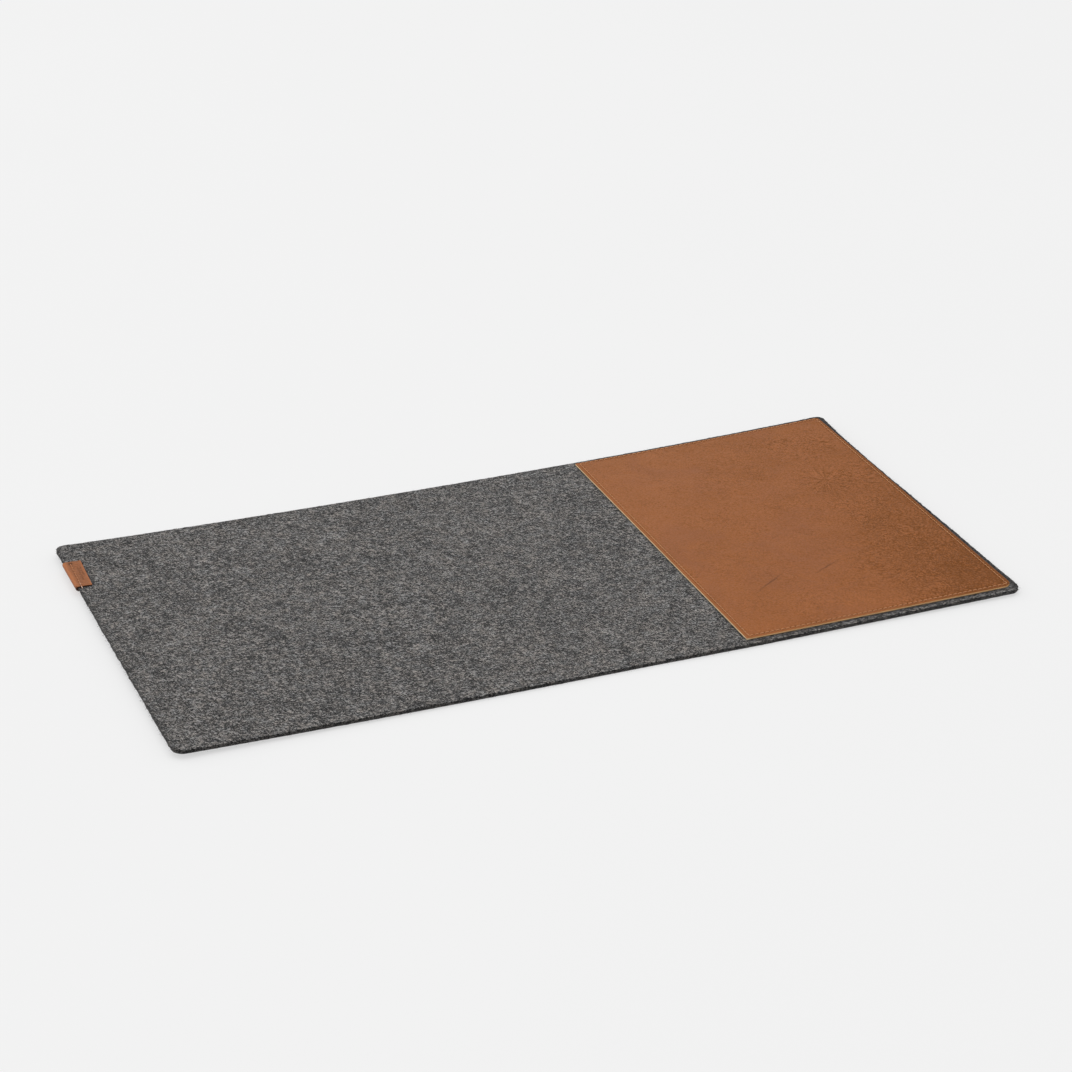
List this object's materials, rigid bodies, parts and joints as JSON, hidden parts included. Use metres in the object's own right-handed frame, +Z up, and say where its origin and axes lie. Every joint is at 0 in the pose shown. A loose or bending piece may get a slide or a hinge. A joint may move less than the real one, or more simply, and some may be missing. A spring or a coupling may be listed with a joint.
{
  "type": "desk mat",
  "caption": "Rectangular grey felt desk mat with a tan leather mousing panel sewn on its right-hand third and a small folded leather tag on its left edge.",
  "frame": {"origin": "centre of the felt sheet's underside, where the mat rests on the desk", "axes": "+X along the length towards the leather panel, +Y to the back, +Z up out of the desk"},
  "size_m": [0.602, 0.3, 0.0048],
  "materials": {
    "felt": "matte",
    "panel_leather": "satin",
    "panel_thread": "satin",
    "tag_leather": "satin",
    "tag_thread": "satin"
  },
  "bodies": {
    "root": {"felt_mat": "felt", "leather_panel": "panel_leather", "panel_needle_thread": "panel_thread", "panel_bobbin_thread": "panel_thread", "leather_tag": "tag_leather", "tag_needle_thread": "tag_thread", "tag_bobbin_thread": "tag_thread"}
  },
  "joints": []
}
